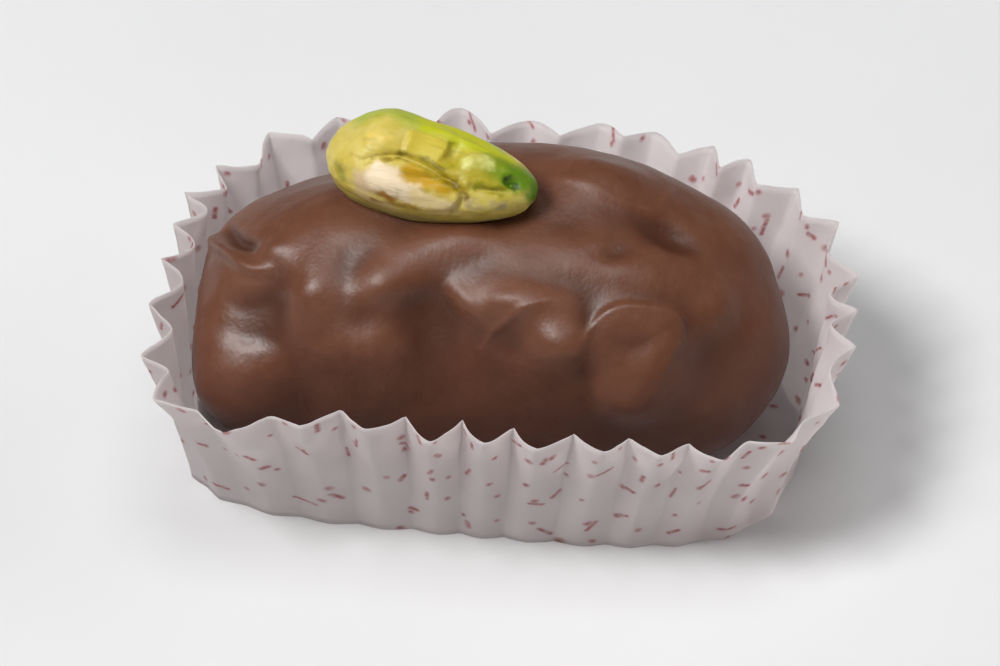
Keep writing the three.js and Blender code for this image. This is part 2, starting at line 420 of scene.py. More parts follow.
def marks_group() -> NodeTree:
    """Makes the group for scattered printed marks: one short round-ended stroke in each cell.

    Its Length is 0 for dots. Kept is the share of the cells that hold a mark.

    Returns:
        The group.
    """
    values = ("Cell", "Length", "Radius", "Kept")
    sheet, entry = open_group("printed_marks", ("Vector",), values, ("Mask",))
    scale = sheet.math("DIVIDE", 1.0, entry["Cell"])
    inputs = {"Vector": entry["Vector"], "Scale": scale, "Randomness": 0.7}
    cells = sheet.add("ShaderNodeTexVoronoi", inputs, voronoi_dimensions="2D", feature="F1")
    offset = sheet.vector("SUBTRACT", entry["Vector"], cells["Position"])
    lot = sheet.add("ShaderNodeSeparateColor", {"Color": cells["Color"]})
    inputs = {"Vector": offset, "Angle": sheet.times(lot["Red"], 2 * math.pi)}
    turned = sheet.add("ShaderNodeVectorRotate", inputs, rotation_type="Z_AXIS")[0]
    sides = sheet.add("ShaderNodeSeparateXYZ", {"Vector": turned})
    length = sheet.times(entry["Length"], sheet.spread(lot["Blue"], 1.3, 0.4))
    beyond = sheet.math("SUBTRACT", sheet.math("ABSOLUTE", sides["X"]), length)
    along = sheet.math("MAXIMUM", beyond, 0.0)
    off_line = sheet.add("ShaderNodeCombineXYZ", {"X": along, "Y": sides["Y"]})[0]
    far = sheet.vector("LENGTH", off_line)
    radius = sheet.times(entry["Radius"], sheet.spread(lot["Blue"], 0.65, 1.2))
    edge = {"Value": far, "From Min": sheet.times(radius, 1.35), "From Max": sheet.times(radius, 0.35)}
    inside = sheet.add("ShaderNodeMapRange", edge, clamp=True)[0]
    kept = sheet.math("LESS_THAN", lot["Green"], entry["Kept"])
    sheet.add("NodeGroupOutput", {"Mask": sheet.times(inside, kept)})
    return sheet.tree


def dab_group() -> NodeTree:
    """Makes the group for a soft-edged dab: a mask about the line from Start to End.

    Returns:
        The group.
    """
    sheet, entry = open_group("dab", ("Vector", "Start", "End"), ("Reach", "Edge"), ("Mask",))
    way = sheet.vector("SUBTRACT", entry["End"], entry["Start"])
    offset = sheet.vector("SUBTRACT", entry["Vector"], entry["Start"])
    gone = sheet.vector("DOT_PRODUCT", offset, way)
    whole = sheet.math("MAXIMUM", sheet.vector("DOT_PRODUCT", way, way), 1e-4)
    along = sheet.math("DIVIDE", gone, whole, clamp=True)
    aside = sheet.vector("SUBTRACT", offset, sheet.vector("SCALE", way, scale=along))
    far = sheet.vector("LENGTH", aside)
    inner = sheet.times(entry["Reach"], sheet.math("SUBTRACT", 1.0, entry["Edge"]))
    sheet.add("NodeGroupOutput", {"Mask": sheet.ramp(far, entry["Reach"], inner)})
    return sheet.tree


# --- Finishes ---


@dataclass(frozen=True)
class Finish:
    """What every finish shares: its material's name, and the node groups it may use."""

    name: str
    groups: dict[str, NodeTree]

    def make(self) -> Material:
        """Makes the material.

        Returns:
            The material, with the finish's nodes in it.
        """
        material = bpy.data.materials.new(self.name)
        material.use_nodes = True
        sheet = Sheet(material.node_tree)
        sheet.add("ShaderNodeOutputMaterial", {"Surface": self.surface(sheet)})
        return material

    def surface(self, sheet: Sheet) -> Socket:
        """Lays the nodes of the finish.

        Args:
            sheet: The material's nodes.

        Returns:
            The shader's output.
        """
        raise NotImplementedError

    def use(self, sheet: Sheet, group: str, inputs: dict) -> Sockets:
        """Lays one of the shared groups with its own values, and gives its outputs."""
        return sheet.add("ShaderNodeGroup", inputs, node_tree=self.groups[group])

    def bump(self, sheet: Sheet, height: Socket, strength: float, rise: float) -> Socket:
        """Turns a height of about 0 to 1 into a normal, for a rise in millimetres."""
        inputs = {"Height": height, "Strength": strength, "Distance": rise * MM}
        return sheet.add("ShaderNodeBump", inputs)["Normal"]


@dataclass(frozen=True)
class Tint:
    """A colour laid over a finish where a value goes from low to high, and its strength there."""

    colour: Colour
    low: float
    high: float
    strength: float

    def over(self, sheet: Sheet, value: Socket, colour: Socket) -> Socket:
        """Lays it over a colour."""
        share = sheet.times(sheet.ramp(value, self.low, self.high), self.strength)
        return sheet.mix(share, colour, self.colour)


@dataclass(frozen=True)
class ChocolateFinish(Finish):
    """Satin milk chocolate: soft gloss, a slight bloom, and painted shade in its hollows and towards its
    foot.
    """

    dark: Colour = (0.124, 0.041, 0.0185, 1)
    light: Colour = (0.160, 0.058, 0.029, 1)
    bloom: Tint = Tint((0.185, 0.085, 0.05, 1), 0.54, 0.76, 0.35)
    # Painted shade: darker in the hollows, by how far each point stands out from its surroundings.
    hollow_shade: Tint = Tint((0.052, 0.0135, 0.0045, 1), 0.1, -0.4, 0.75)
    # Painted shade: darker towards the foot of the coat, by height.
    foot: Tint = Tint((0.052, 0.0135, 0.0045, 1), 15.5, 4.5, 0.7)
    roughness: Pair = (0.39, 0.5)
    stand: ClassVar[str] = "stand"

    def surface(self, sheet: Sheet) -> Socket:
        """Lays the nodes of the finish.

        Args:
            sheet: The material's nodes.

        Returns:
            The shader's output.
        """
        place = millimetres(sheet)
        mottle = self.use(sheet, "mottle", {"Vector": place, "Broad Size": 6.0, "Fine Size": 0.9})
        broad = sheet.times(mottle["Broad"], 0.65)
        shade = sheet.math("ADD", broad, sheet.times(mottle["Fine"], 0.35))
        colour = sheet.mix(shade, self.dark, self.light)
        colour = self.bloom.over(sheet, sheet.noise(place, 2.2, 5.0), colour)
        stand = sheet.add("ShaderNodeAttribute", attribute_name=self.stand)["Fac"]
        # Painted shade in the hollows: darker where a point stands out less than its surroundings.
        colour = self.hollow_shade.over(sheet, stand, colour)
        # Painted shade towards the foot, by height.
        level = sheet.add("ShaderNodeSeparateXYZ", {"Vector": place})["Z"]
        colour = self.foot.over(sheet, level, colour)

        grain = sheet.times(sheet.noise(place, 0.3), 0.16)
        height = sheet.math("ADD", grain, sheet.times(sheet.noise(place, 1.2), 0.6))
        return sheet.add("ShaderNodeBsdfPrincipled", {
            "Base Color": colour,
            "Roughness": sheet.spread(mottle["Broad"], *self.roughness),
            "Normal": self.bump(sheet, height, strength=0.55, rise=0.15),
            "IOR": 1.5,
        })[0]


@dataclass(frozen=True)
class Dab:
    """A patch or streak of colour on the kernel, from point to point in its own frame."""

    colour: Colour
    start: Point
    end: Point
    reach: float
    edge: float = 0.6
    strength: float = 1.0


@dataclass(frozen=True)
class KernelFinish(Finish):
    """Peeled pistachio: pale yellow, green along its back and tip, cream skin on its front."""

    centre: Vector
    turn: Euler
    body: Colour = (0.58, 0.45, 0.07, 1)
    pale: Colour = (0.65, 0.53, 0.13, 1)
    cloudy: Pair = (0.38, 0.62)
    # Painted shade: darker towards the kernel's underside.
    foot: Tint = Tint((0.24, 0.18, 0.05, 1), -0.5, -2.2, 0.8)
    streaks: Tint = Tint((0.24, 0.18, 0.05, 1), 0.56, 0.74, 0.3)
    raggedness: float = 1.2
    fibre_pull: Point = (0.25, 1.0, 1.0)
    roughness: Pair = (0.34, 0.52)
    dabs: tuple[Dab, ...] = (
        # Olive gold towards the tip.
        Dab((0.40, 0.33, 0.010, 1), (0.6, -1.6, 3.4), (6.4, -1.8, 2.2), 2.5, 0.8, 0.85),
        # Green skin along the back, and a lime patch at the top of the blunt end.
        Dab((0.40, 0.46, 0.045, 1), (-5.6, 1.2, 3.2), (-1.6, 1.4, 3.9), 2.1, 0.8),
        Dab((0.30, 0.40, 0.02, 1), (-4.0, 3.6, 1.0), (4.0, 2.6, 1.0), 2.4, 0.7),
        Dab((0.50, 0.51, 0.015, 1), (-0.4, 1.2, 3.5), (5.4, 0.9, 2.5), 1.7, 0.6),
        Dab((0.72, 0.54, 0.10, 1), (-4.6, -1.8, 3.9), (-3.0, -1.6, 4.1), 0.7, 1.0),
        # The plate on the back, and the dark lines below it and beside it.
        Dab((0.60, 0.48, 0.05, 1), (-1.0, -0.9, 3.8), (0.6, -1.2, 3.5), 1.1, 0.3),
        Dab((0.19, 0.16, 0.002, 1), (1.6, -0.1, 3.5), (2.0, -1.8, 3.1), 0.62, 0.8),
        Dab((0.18, 0.135, 0.002, 1), (-1.9, -2.3, 3.4), (1.4, -2.4, 2.9), 0.6, 0.8),
        # The green tip with its pit.
        Dab((0.20, 0.27, 0.004, 1), (5.2, -0.5, 2.5), (7.4, 0.3, 1.2), 1.7, 0.7),
        Dab((0.10, 0.215, 0.003, 1), (6.6, -0.6, 1.6), (8.3, 0.0, 0.3), 1.5, 0.7),
        # Painted shade: a near-black dab in the pit.
        Dab((0.012, 0.03, 0.001, 1), (6.4, -1.1, 1.9), (6.9, -1.2, 1.6), 0.6, 0.7),
        # A painted highlight: a pale patch where the kernel's back catches the light.
        Dab((0.68, 0.67, 0.20, 1), (3.0, -1.2, 3.1), (4.7, -0.7, 2.8), 0.85, 0.9),
        # Cream skin on the front, with its brown spots.
        Dab((0.64, 0.47, 0.27, 1), (-4.4, -3.9, 1.2), (-3.0, -4.0, 1.6), 1.5, 0.7),
        Dab((0.84, 0.68, 0.46, 1), (-3.0, -3.8, 1.9), (-0.8, -4.1, 1.3), 1.5, 0.5),
        Dab((0.74, 0.58, 0.28, 1), (-0.2, -4.2, 0.9), (2.6, -3.8, 0.3), 1.0, 0.7),
        Dab((0.36, 0.15, 0.02, 1), (-2.9, -4.2, 0.6), (-2.1, -4.3, 0.2), 0.6, 0.9),
        Dab((0.32, 0.17, 0.02, 1), (-1.9, -4.2, -0.2), (0.0, -4.1, -0.2), 0.6, 0.9, 0.8),
        Dab((0.62, 0.45, 0.22, 1), (-4.6, -3.8, -0.4), (-2.4, -4.2, -0.9), 1.1, 0.9, 0.8),
        Dab((0.60, 0.45, 0.17, 1), (0.4, -4.2, -0.7), (3.0, -3.7, -0.6), 0.9, 0.9, 0.8),
        Dab((0.30, 0.14, 0.015, 1), (-3.6, -4.1, -0.5), (-3.0, -4.2, -0.7), 0.5, 0.9),
        # The split: gold inside, olive and brown along its foot.
        Dab((0.52, 0.30, 0.004, 1), (-0.9, -3.3, 2.4), (1.9, -3.3, 1.9), 1.05, 0.7),
        Dab((0.34, 0.24, 0.003, 1), (0.6, -2.7, 2.7), (3.1, -3.0, 1.8), 0.85, 0.8),
        Dab((0.15, 0.10, 0.002, 1), (0.9, -2.9, 2.6), (2.8, -3.0, 2.0), 0.45, 0.9),
        Dab((0.15, 0.065, 0.002, 1), (3.2, -3.3, 1.6), (3.6, -3.3, 1.2), 0.55, 0.9),
        Dab((0.30, 0.21, 0.03, 1), (-4.4, -3.2, 2.8), (-2.2, -2.6, 3.4), 0.42, 0.9),
        # Olive shade at the blunt end, and the beige foot towards the tip.
        Dab((0.28, 0.25, 0.01, 1), (-6.7, -2.9, 1.1), (-6.3, -3.2, 0.6), 0.95, 0.9, 0.85),
        Dab((0.44, 0.35, 0.15, 1), (3.9, -3.2, 0.7), (6.2, -2.5, 0.5), 0.75, 0.8),
        Dab((0.24, 0.22, 0.004, 1), (4.3, -2.5, 1.8), (6.2, -1.9, 1.5), 0.6, 0.8),
    )

    def surface(self, sheet: Sheet) -> Socket:
        """Lays the nodes of the finish.

        Args:
            sheet: The material's nodes.

        Returns:
            The shader's output.
        """
        place = millimetres(sheet, self.centre, self.turn)
        wobble = sheet.add("ShaderNodeTexNoise", {"Vector": place, "Scale": 1.1, "Detail": 4.0})["Color"]
        shift = sheet.vector("SUBTRACT", wobble, (0.5, 0.5, 0.5))
        shift = sheet.vector("SCALE", shift, scale=self.raggedness)
        ragged = sheet.vector("ADD", place, shift)
        stretched = sheet.vector("MULTIPLY", place, self.fibre_pull)
        fibres = sheet.noise(stretched, 0.5, 4.0)
        clouds = sheet.noise(place, 2.4, 3.0)

        colour = sheet.mix(sheet.ramp(clouds, *self.cloudy), self.body, self.pale)
        for dab in self.dabs:
            inputs = {"Start": dab.start, "End": dab.end, "Reach": dab.reach, "Edge": dab.edge}
            mask = self.use(sheet, "dab", {"Vector": ragged, **inputs})["Mask"]
            colour = sheet.mix(sheet.times(mask, dab.strength), colour, dab.colour)
        # Painted shade underneath: darker towards the foot of the kernel.
        low = sheet.add("ShaderNodeSeparateXYZ", {"Vector": ragged})["Z"]
        colour = self.foot.over(sheet, low, colour)
        colour = self.streaks.over(sheet, fibres, colour)

        height = sheet.math("ADD", fibres, sheet.times(clouds, 0.6))
        return sheet.add("ShaderNodeBsdfPrincipled", {
            "Base Color": colour,
            "Roughness": sheet.spread(fibres, *self.roughness),
            "Normal": self.bump(sheet, height, strength=0.5, rise=0.2),
            "Subsurface Weight": 0.1,
            "Subsurface Radius": (1.0 * MM, 0.8 * MM, 0.25 * MM),
            "Subsurface Scale": 1.0,
            "IOR": 1.4,
        })[0]


@dataclass(frozen=True)
class Mark:
    """One kind of printed mark: where its cells start and their size, its shape and its share."""

    start: Point
    cell: float
    length: float
    radius: float
    kept: float


@dataclass(frozen=True)
class PaperFinish(Finish):
    """Thin white glassine with small dull red dots and dashes, printed on both faces."""

    uv_name: str
    uv_span: float
    # Tinted slightly pink: partly the paper's own tint from its red print, partly painted warm light
    # bounced from the chocolate.
    white: Colour = (0.82, 0.77, 0.775, 1)
    shade: Colour = (0.70, 0.64, 0.65, 1)
    ink: Colour = (0.52, 0.12, 0.125, 1)
    glow: Colour = (0.95, 0.90, 0.895, 1)
    through: float = 0.58
    clouding: float = 0.5
    inking: Pair = (0.4, 0.85)
    roughness: Pair = (0.4, 0.55)
    marks: tuple[Mark, ...] = (
        Mark((0.0, 0.0, 0.0), 3.6, 0.0, 0.34, 0.8),
        Mark((31.0, 17.0, 0.0), 4.2, 0.62, 0.24, 0.85),
    )

    def surface(self, sheet: Sheet) -> Socket:
        """Lays the nodes of the finish.

        Args:
            sheet: The material's nodes.

        Returns:
            The shader's output.
        """
        flat = sheet.add("ShaderNodeUVMap", uv_map=self.uv_name)["UV"]
        centred = sheet.vector("SUBTRACT", flat, (0.5, 0.5, 0))
        place = sheet.vector("SCALE", centred, scale=self.uv_span)
        ink = 0.0
        for mark in self.marks:
            inputs = {"Vector": sheet.vector("ADD", place, mark.start), "Cell": mark.cell}
            inputs |= {"Length": mark.length, "Radius": mark.radius, "Kept": mark.kept}
            ink = sheet.math("MAXIMUM", ink, self.use(sheet, "marks", inputs)["Mask"])
        mottle = self.use(sheet, "mottle", {"Vector": place, "Broad Size": 6.0, "Fine Size": 0.5})
        colour = sheet.mix(sheet.times(mottle["Broad"], self.clouding), self.white, self.shade)
        inked = sheet.times(ink, sheet.spread(mottle["Fine"], *self.inking))
        normal = self.bump(sheet, sheet.noise(place, 0.35, 3.0), strength=0.3, rise=0.05)
        face = sheet.add("ShaderNodeBsdfPrincipled", {
            "Base Color": sheet.mix(inked, colour, self.ink),
            "Roughness": sheet.spread(mottle["Fine"], *self.roughness),
            "Normal": normal,
        })[0]
        inputs = {"Color": sheet.mix(inked, self.glow, self.ink), "Normal": normal}
        glow = sheet.add("ShaderNodeBsdfTranslucent", inputs)[0]
        return sheet.add("ShaderNodeMixShader", {0: self.through, 1: face, 2: glow})[0]


@dataclass(frozen=True)
class FloorFinish(Finish):
    """Plain pale tabletop, a touch uneven."""

    pale: Colour = (0.74, 0.74, 0.74, 1)
    paler: Colour = (0.77, 0.77, 0.77, 1)
    roughness: Pair = (0.55, 0.62)

    def surface(self, sheet: Sheet) -> Socket:
        """Lays the nodes of the finish.

        Args:
            sheet: The material's nodes.

        Returns:
            The shader's output.
        """
        inputs = {"Vector": millimetres(sheet), "Broad Size": 60.0, "Fine Size": 2.0}
        mottle = self.use(sheet, "mottle", inputs)
        return sheet.add("ShaderNodeBsdfPrincipled", {
            "Base Color": sheet.mix(mottle["Broad"], self.pale, self.paler),
            "Roughness": sheet.spread(mottle["Fine"], *self.roughness),
        })[0]


# --- Relief ---


@dataclass(frozen=True)
class Swell:
    """A rounded rise, or with a negative rise a hollow, in a piece's own frame in millimetres."""

    at: Point
    reach: Point
    rise: float
    turn: float = 0.0

    def over(self, points: np.ndarray, normals: np.ndarray) -> np.ndarray:
        """Gives what it adds at each point, whichever way the surface faces.

        Args:
            points: Places in the piece's own frame, one row each.
            normals: The surface's outward normals there, which it doesn't use.

        Returns:
            A rise in millimetres for each point.
        """
        offset = points - np.array(self.at)
        angle = math.radians(self.turn)
        along = offset[:, 0] * math.cos(angle) + offset[:, 1] * math.sin(angle)
        across = offset[:, 1] * math.cos(angle) - offset[:, 0] * math.sin(angle)
        turned = np.stack([along, across, offset[:, 2]], axis=1) / np.array(self.reach)
        return self.rise * np.exp(-(turned**2).sum(axis=1))


@dataclass(frozen=True)
class Fold:
    """A lip along a line: a thin ridge, and a step up to the surface on the line's left.

    Left is as seen from outside, going from the first point to the last. A negative rise or
    step makes a crease or a step down. Width is the ridge's, and reach is how far the step goes
    on. Both fade out towards the ends of the line.
    """

    path: tuple[Point, ...]
    rise: float
    width: float = 0.4
    step: float = 0.0
    reach: float = 2.5
    cuts: ClassVar[int] = 5
    margin: ClassVar[float] = 2.5
    fading: ClassVar[float] = 0.7
    steepness: ClassVar[float] = 1.5

    def line(self) -> np.ndarray:
        """Draws a smooth line through the path.

        Returns:
            Points close together on it, one row each.
        """
        ends = np.array(self.path)
        knots = np.vstack([2 * ends[0] - ends[1], ends, 2 * ends[-1] - ends[-2]])
        places = []
        for a, b, c, d in zip(knots, knots[1:], knots[2:], knots[3:]):
            for t in np.arange(self.cuts) / self.cuts:
                square, cube = 2 * a - 5 * b + 4 * c - d, 3 * b - a - 3 * c + d
                bend = (c - a) * t + square * t**2 + cube * t**3
                places.append(b + bend / 2)
        return np.array([*places, ends[-1]])

    def over(self, points: np.ndarray, normals: np.ndarray) -> np.ndarray:
        """Gives what it adds at each point.

        Args:
            points: Places in the piece's own frame, one row each.
            normals: The surface's outward normals there, in the same frame.

        Returns:
            A rise in millimetres for each point.
        """
        places = self.line()
        margin = self.margin * max(self.reach, self.width)
        inside = (points > places.min(axis=0) - margin) & (points < places.max(axis=0) + margin)
        near = np.flatnonzero(inside.all(axis=1))
        spots, outward = points[near], normals[near]
        nearest = np.full(len(near), np.inf)
        side = np.zeros(len(near))
        share = np.zeros(len(near))
        count = len(places) - 1
        for index, (start, end) in enumerate(zip(places, places[1:])):
            way = end - start
            along = np.clip((spots - start) @ way / (way @ way), 0, 1)
            offset = spots - start - along[:, None] * way
            far = np.linalg.norm(offset, axis=1)
            closer = far < nearest
            left = np.sign((np.cross(outward, way) * offset).sum(axis=1))
            side = np.where(closer, left, side)
            share = np.where(closer, (index + along) / count, share)
            nearest = np.where(closer, far, nearest)
        signed = side * nearest
        fade = np.sin(np.pi * np.clip(share, 0, 1)) ** self.fading
        lip = self.rise * np.exp(-((signed / self.width) ** 2))
        up = 0.5 + 0.5 * np.tanh(self.steepness * signed / self.width)
        ledge = self.step * up * np.exp(-((np.maximum(signed, 0) / self.reach) ** 2))
        added = np.zeros(len(points))
        added[near] = fade * (lip + ledge)
        return added


@dataclass(frozen=True)
class Ripple:
    """A smooth unevenness all over: its size and depth in millimetres, a seed, and its pull along X."""

    size: float
    depth: float
    seed: float
    pull: float = 1.0

    def over(self, points: np.ndarray, normals: np.ndarray) -> np.ndarray:
        """Gives what it adds at each point, whichever way the surface faces."""
        return self.depth * waver(points * np.array([self.pull, 1, 1]), self.size, self.seed)


Shape = Swell | Fold | Ripple


@dataclass(frozen=True)
class OwnFrame:
    """A piece's own frame: where its relief is laid out, in millimetres."""

    turn: np.ndarray
    origin: np.ndarray

    @classmethod
    def of_node(cls, node: str, turn: Euler, shift: Point, from_foot: bool = False) -> "OwnFrame":
        """Finds a node's own frame from its box.

        Args:
            node: The node.
            turn: How its own frame is turned.
            shift: Where the frame starts, from the middle of the box or of its foot.
            from_foot: True to start from the foot of the box.

        Returns:
            The frame.
        """
        low, high = (np.array(corner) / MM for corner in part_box(node))
        middle = (low + high) / 2
        if from_foot:
            middle[2] = low[2]
        return cls(np.array(turn.to_matrix()), middle + np.array(shift))

    def inward(self, points: np.ndarray) -> np.ndarray:
        """Turns places in the part's frame into places in this one."""
        return (points - self.origin) @ self.turn


def relief_on(piece: Object, own: OwnFrame, shapes: tuple[Shape, ...]) -> np.ndarray:
    """Adds up what shapes give at a piece's points.

    Args:
        piece: The piece to read.
        own: The frame that the shapes are laid out in.
        shapes: The swells, folds and ripples.

    Returns:
        A rise in millimetres for each point.
    """
    places, normals = own.inward(points_of(piece)), normals_of(piece) @ own.turn
    return sum(shape.over(places, normals) for shape in shapes)


# --- Pieces ---


@dataclass
class Piece:
    """What every piece shares: the solid's node that it stands for, its own name and its slot."""

    node: str
    name: str
    slot: Slot

    def dress(self, piece: Object, finish: Material) -> None:
        """Gives the piece its finish and its place in the frame.

        Args:
            piece: The modelled piece.
            finish: Its material.
        """
        piece.data.materials.clear()
        piece.data.materials.append(finish)
        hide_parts(self.node)
        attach(piece, "root")


@dataclass
class ChocolateDate(Piece):
    """The coated date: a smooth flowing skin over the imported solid."""

    node: str = "chocolate_date"
    name: str = "chocolate_coat"
    slot: Slot = Slot.CHOCOLATE
    kernel_node: str = "pistachio_kernel"
    turn: float = 3.0
    shift: Point = (-0.045, -0.89, 0.0)
    seat_gap: float = 0.34
    pull: float = 0.12
    pull_reach: float = 0.35
    grid: float = 0.23
    smoothing: int = 30
    melting: int = 260
    ripples: tuple[Ripple, ...] = (Ripple(4.4, 0.15, 3.0), Ripple(1.8, 0.06, 8.0))
    calm_foot: Pair = (0.3, 2.5)
    folds: tuple[Fold, ...] = (
        # The lip across the narrow end, and the crevice that it hangs over.
        Fold(((-22.6, 3.0, 13.6), (-21.6, 0.4, 15.3), (-19.9, -3.2, 17.4), (-18.2, -5.4, 18.0),
              (-15.9, -6.3, 18.6)), 0.75, 0.5),
        Fold(((-21.2, 1.4, 16.3), (-19.6, -2.2, 18.0), (-17.6, -4.2, 19.0)), -0.9, 0.6),
        # The valley up the middle of the second lobe.
        Fold(((-12.0, -11.2, 14.8), (-11.3, -10.0, 17.0), (-10.7, -8.0, 18.8), (-9.6, -6.2, 20.3),
              (-7.8, -5.0, 20.9)), -0.32, 1.6),
        # The ridge beside the third lobe.
        Fold(((-2.8, -7.4, 19.1), (-1.6, -8.0, 18.5), (-0.2, -9.0, 17.7), (1.2, -10.1, 16.8)), 0.4, 0.8),
        # The line over the third lobe.
        Fold(((0.1, -10.9, 14.9), (1.0, -10.2, 16.5), (2.2, -9.9, 17.7), (3.8, -9.4, 18.5),
              (5.9, -8.8, 19.0)), 0.26, 0.35),
        # The last lobe's crisp edge, from its right-hand foot over its top to its left-hand foot.
        Fold(((13.6, -11.6, 12.6), (14.8, -10.3, 14.8), (15.6, -8.4, 16.4), (15.0, -7.6, 17.3),
              (13.0, -8.0, 18.4), (11.0, -8.4, 18.6), (9.6, -8.9, 18.1), (8.3, -10.1, 17.1),
              (7.2, -11.2, 16.0)), 0.15, 0.35, 0.4, 2.2),
        # The thin forked line on the back of the broad end.
        Fold(((4.4, 1.8, 22.0), (6.9, 1.1, 21.7), (9.4, 0.2, 21.2), (12.2, 0.5, 20.4),
              (13.4, 1.3, 20.0)), 0.12, 0.32, 0.2, 1.6),
        Fold(((13.6, 4.8, 19.6), (12.9, 1.1, 20.3)), 0.15, 0.32),
        # Lips and lines on the far side.
        Fold(((-18.5, 7.0, 15.0), (-14.0, 9.8, 14.8), (-10.0, 10.6, 15.5)), 0.3, 0.45, -0.2),
        Fold(((-4.5, 12.6, 9.0), (-1.5, 12.6, 13.0), (2.5, 11.2, 16.2)), 0.25, 0.4, 0.2),
        Fold(((8.0, 11.5, 10.5), (10.5, 10.2, 14.5), (15.0, 7.8, 15.6)), 0.22, 0.4, -0.3),
    )
    swells: tuple[Swell, ...] = (
        # The knob at the end of the narrow end's lip.
        Swell((-16.2, -5.0, 19.6), (1.2, 1.0, 1.2), 0.45),
        # The furrow, and the first lobe's flat face with its crown low on its front.
        Swell((-18.4, -6.4, 16.9), (4.0, 1.4, 1.2), 0.45),
        Swell((-17.8, -9.6, 14.4), (3.8, 2.2, 1.8), -0.9),
        Swell((-20.6, -10.8, 9.0), (3.6, 3.0, 3.6), 1.6),
        # The second lobe, parted by its valley into two ridges.
        Swell((-14.1, -9.0, 16.6), (1.2, 2.2, 2.4), 0.55),
        Swell((-7.5, -8.1, 19.1), (2.2, 1.7, 1.6), 0.75),
        Swell((-8.6, -9.9, 17.2), (1.8, 1.8, 1.6), -0.4),
        Swell((-12.6, -8.3, 18.2), (2.0, 2.0, 1.8), 1.0),
        # The crest below the kernel, the shelf and its outer edge, and the hollow under it.
        Swell((-1.6, -4.6, 21.2), (2.6, 1.5, 1.4), 0.6),
        Swell((-5.0, -6.6, 20.4), (3.0, 1.4, 1.2), -0.1),
        Swell((1.8, -7.9, 19.3), (3.4, 1.7, 1.6), 0.3),
        Swell((-3.5, -10.0, 15.3), (2.4, 2.0, 2.2), -0.3, 15),
        Swell((4.0, -8.9, 18.8), (4.6, 1.3, 1.4), 0.8),
        Swell((2.8, -10.8, 16.4), (1.6, 1.3, 1.5), -0.3, 30),
        Swell((7.0, -11.0, 16.6), (2.4, 1.6, 1.8), 1.0),
        # The last lobe: flat face, with its crown low on its front.
        Swell((12.0, -10.4, 16.6), (3.0, 1.8, 1.4), -0.6),
        Swell((11.8, -11.7, 12.0), (3.2, 2.0, 2.4), 1.3),
        # The broad end: its back slopes forward from a soft rise, with a groove beside it.
        Swell((8.0, 2.6, 21.6), (4.5, 3.0, 3.0), 1.2),
        Swell((10.0, -4.6, 20.9), (1.8, 0.9, 1.0), -0.35, 25),
        Swell((14.0, -0.8, 19.7), (3.2, 1.1, 1.2), -0.25, -12),
        Swell((18.0, -5.4, 16.2), (2.2, 2.0, 1.8), 0.8),
    )

    def build(self, kernel: Object) -> Object:
        """Models the coat round the kernel.

        Args:
            kernel: The finished kernel, which the coat closes on.

        Returns:
            The piece.
        """
        piece = copy_of_solid(self.node, self.name)
        self.fill_seat(piece)
        apply_modifier(piece, "round", "SUBSURF", levels=2, render_levels=2)
        apply_modifier(piece, "even", "REMESH", mode="VOXEL", voxel_size=self.grid * MM)
        apply_modifier(piece, "melt", "SMOOTH", factor=0.5, iterations=self.smoothing)
        turn = Euler((0, 0, math.radians(self.turn)))
        own = OwnFrame.of_node(self.node, turn, self.shift, from_foot=True)
        push_out(piece, relief_on(piece, own, (*self.folds, *self.swells)))
        apply_modifier(piece, "set", "SMOOTH", factor=0.5, iterations=2)
        self.unsettle(piece, own)
        self.close_on(piece, kernel)
        self.mark_hollows(piece)
        shade_smooth(piece)
        return piece

    def fill_seat(self, piece: Object) -> None:
        """Closes the seat under the kernel, so that the coat runs on beneath it.

        Args:
            piece: The copy of the date's solid, whose faces in the seat are taken out.
        """
        gaps = gaps_to(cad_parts[self.kernel_node], points_of(piece))
        with editing(piece):
            bpy.ops.mesh.select_mode(type="FACE")
            bpy.ops.mesh.select_all(action="DESELECT")
        for face in piece.data.polygons:
            face.select = all(gaps[index] < self.seat_gap for index in face.vertices)
        with editing(piece):
            bpy.ops.mesh.delete(type="FACE")
            bpy.ops.mesh.select_all(action="SELECT")
            bpy.ops.mesh.fill_holes(sides=0)

    def unsettle(self, piece: Object, own: OwnFrame) -> None:
        """Adds the slow waver of poured chocolate above its foot.

        Args:
            piece: The coat.
            own: The frame that its relief is laid out in.
        """
        levels = own.inward(points_of(piece))[:, 2]
        relief = relief_on(piece, own, self.ripples)
        push_out(piece, relief * smoothstep(*self.calm_foot, levels))

    def close_on(self, piece: Object, kernel: Object) -> None:
        """Draws the edge of the coat up against the kernel."""
        gaps = gaps_to(kernel, points_of(piece))
        push_out(piece, self.pull * np.exp(-((gaps / self.pull_reach) ** 2)))

    def mark_hollows(self, piece: Object) -> None:
        """Keeps how far each point stands out from its surroundings, for the painted shade in the finish's
        hollows.

        Args:
            piece: The coat, which gets the distances in millimetres as an attribute.
        """
        melted = put_in_scene("melted", piece.data.copy())
        apply_modifier(melted, "melt", "SMOOTH", factor=0.9, iterations=self.melting)
        proud = ((points_of(piece) - points_of(melted)) * normals_of(piece)).sum(axis=1)
        layer = piece.data.attributes.new(ChocolateFinish.stand, "FLOAT", "POINT")
        layer.data.foreach_set("value", proud - np.median(proud))
        bpy.data.objects.remove(melted)


